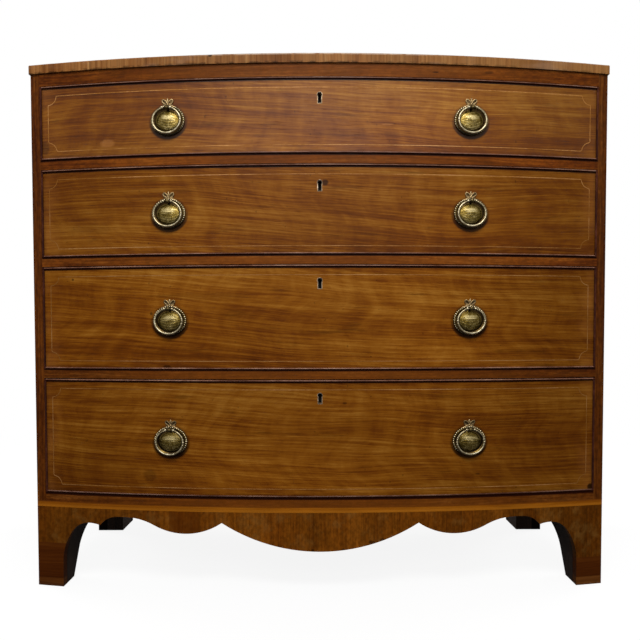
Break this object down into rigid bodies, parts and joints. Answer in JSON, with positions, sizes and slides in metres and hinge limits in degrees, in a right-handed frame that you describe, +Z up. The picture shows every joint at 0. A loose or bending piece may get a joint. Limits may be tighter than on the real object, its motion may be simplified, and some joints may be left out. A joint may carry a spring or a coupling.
{
  "type": "bow front chest of drawers",
  "caption": "Mahogany chest with a bowed front: long graduated drawers with brass ring handles and locks, above a shaped apron and bracket feet.",
  "frame": {"origin": "on the floor, under the middle of the chest's overall width and depth", "axes": "+X to the right seen from the front, +Y to the back, +Z up; the bowed front looks along -Y"},
  "size_m": [1.028, 0.5319, 0.93],
  "materials": {
    "case_mahogany": "waxed mahogany, brown",
    "drawer_mahogany": "waxed mahogany, golden brown",
    "dark_bead": "dark mahogany",
    "light_band": "light satinwood banding",
    "oak": "unfinished oak",
    "pine": "unfinished pine, aged",
    "brass": "aged brass"
  },
  "bodies": {
    "carcase": {"top_board": "case_mahogany", "side_left": "case_mahogany", "side_right": "case_mahogany", "bottom_board": "pine", "back_boards": "pine", "top_frame": "pine", "front_rails": "case_mahogany", "dust_boards": "pine", "drawer_runners": "pine", "drawer_stops": "pine", "apron": "case_mahogany", "side_skirts": "case_mahogany", "front_feet": "case_mahogany", "rear_feet": "case_mahogany", "foot_blocks": "pine", "base_banding": "light_band"},
    "drawer_1": {"drawer_1_front": "drawer_mahogany", "drawer_1_sides": "oak", "drawer_1_back": "oak", "drawer_1_bottom": "oak", "drawer_1_cockbead": "dark_bead", "drawer_1_handle_plates": "brass", "drawer_1_handle_posts": "brass", "drawer_1_lock": "brass"},
    "lock_bolt_1": {"drawer_1_bolt": "brass"},
    "bail_1_left": {"drawer_1_bail_left": "brass"},
    "bail_1_right": {"drawer_1_bail_right": "brass"},
    "drawer_2": {"drawer_2_front": "drawer_mahogany", "drawer_2_sides": "oak", "drawer_2_back": "oak", "drawer_2_bottom": "oak", "drawer_2_cockbead": "dark_bead", "drawer_2_handle_plates": "brass", "drawer_2_handle_posts": "brass", "drawer_2_lock": "brass"},
    "lock_bolt_2": {"drawer_2_bolt": "brass"},
    "bail_2_left": {"drawer_2_bail_left": "brass"},
    "bail_2_right": {"drawer_2_bail_right": "brass"},
    "drawer_3": {"drawer_3_front": "drawer_mahogany", "drawer_3_sides": "oak", "drawer_3_back": "oak", "drawer_3_bottom": "oak", "drawer_3_cockbead": "dark_bead", "drawer_3_handle_plates": "brass", "drawer_3_handle_posts": "brass", "drawer_3_lock": "brass"},
    "lock_bolt_3": {"drawer_3_bolt": "brass"},
    "bail_3_left": {"drawer_3_bail_left": "brass"},
    "bail_3_right": {"drawer_3_bail_right": "brass"},
    "drawer_4": {"drawer_4_front": "drawer_mahogany", "drawer_4_sides": "oak", "drawer_4_back": "oak", "drawer_4_bottom": "oak", "drawer_4_cockbead": "dark_bead", "drawer_4_handle_plates": "brass", "drawer_4_handle_posts": "brass", "drawer_4_lock": "brass"},
    "lock_bolt_4": {"drawer_4_bolt": "brass"},
    "bail_4_left": {"drawer_4_bail_left": "brass"},
    "bail_4_right": {"drawer_4_bail_right": "brass"}
  },
  "joints": [
    {"name": "drawer_1_slide", "type": "slide", "parent": "carcase", "child": "drawer_1", "axis": [0, -1, 0], "range_m": [0, 0.34]},
    {"name": "lock_bolt_1_slide", "type": "slide", "parent": "drawer_1", "child": "lock_bolt_1", "axis": [0, 0, 1], "range_m": [0, 0.006]},
    {"name": "bail_1_left_swing", "type": "hinge", "parent": "drawer_1", "child": "bail_1_left", "pos_m": [-0.26162, -0.25606, 0.8417], "axis": [-0.9931, 0.1176, 0], "range_deg": [-5, 175]},
    {"name": "bail_1_right_swing", "type": "hinge", "parent": "drawer_1", "child": "bail_1_right", "pos_m": [0.26162, -0.25606, 0.8417], "axis": [-0.9931, -0.1176, 0], "range_deg": [-5, 175]},
    {"name": "drawer_2_slide", "type": "slide", "parent": "carcase", "child": "drawer_2", "axis": [0, -1, 0], "range_m": [0, 0.34]},
    {"name": "lock_bolt_2_slide", "type": "slide", "parent": "drawer_2", "child": "lock_bolt_2", "axis": [0, 0, 1], "range_m": [0, 0.006]},
    {"name": "bail_2_left_swing", "type": "hinge", "parent": "drawer_2", "child": "bail_2_left", "pos_m": [-0.26162, -0.25606, 0.6832], "axis": [-0.9931, 0.1176, 0], "range_deg": [-5, 175]},
    {"name": "bail_2_right_swing", "type": "hinge", "parent": "drawer_2", "child": "bail_2_right", "pos_m": [0.26162, -0.25606, 0.6832], "axis": [-0.9931, -0.1176, 0], "range_deg": [-5, 175]},
    {"name": "drawer_3_slide", "type": "slide", "parent": "carcase", "child": "drawer_3", "axis": [0, -1, 0], "range_m": [0, 0.34]},
    {"name": "lock_bolt_3_slide", "type": "slide", "parent": "drawer_3", "child": "lock_bolt_3", "axis": [0, 0, 1], "range_m": [0, 0.006]},
    {"name": "bail_3_left_swing", "type": "hinge", "parent": "drawer_3", "child": "bail_3_left", "pos_m": [-0.26162, -0.25606, 0.4987], "axis": [-0.9931, 0.1176, 0], "range_deg": [-5, 175]},
    {"name": "bail_3_right_swing", "type": "hinge", "parent": "drawer_3", "child": "bail_3_right", "pos_m": [0.26162, -0.25606, 0.4987], "axis": [-0.9931, -0.1176, 0], "range_deg": [-5, 175]},
    {"name": "drawer_4_slide", "type": "slide", "parent": "carcase", "child": "drawer_4", "axis": [0, -1, 0], "range_m": [0, 0.34]},
    {"name": "lock_bolt_4_slide", "type": "slide", "parent": "drawer_4", "child": "lock_bolt_4", "axis": [0, 0, 1], "range_m": [0, 0.006]},
    {"name": "bail_4_left_swing", "type": "hinge", "parent": "drawer_4", "child": "bail_4_left", "pos_m": [-0.26162, -0.25606, 0.2887], "axis": [-0.9931, 0.1176, 0], "range_deg": [-5, 175]},
    {"name": "bail_4_right_swing", "type": "hinge", "parent": "drawer_4", "child": "bail_4_right", "pos_m": [0.26162, -0.25606, 0.2887], "axis": [-0.9931, -0.1176, 0], "range_deg": [-5, 175]}
  ]
}
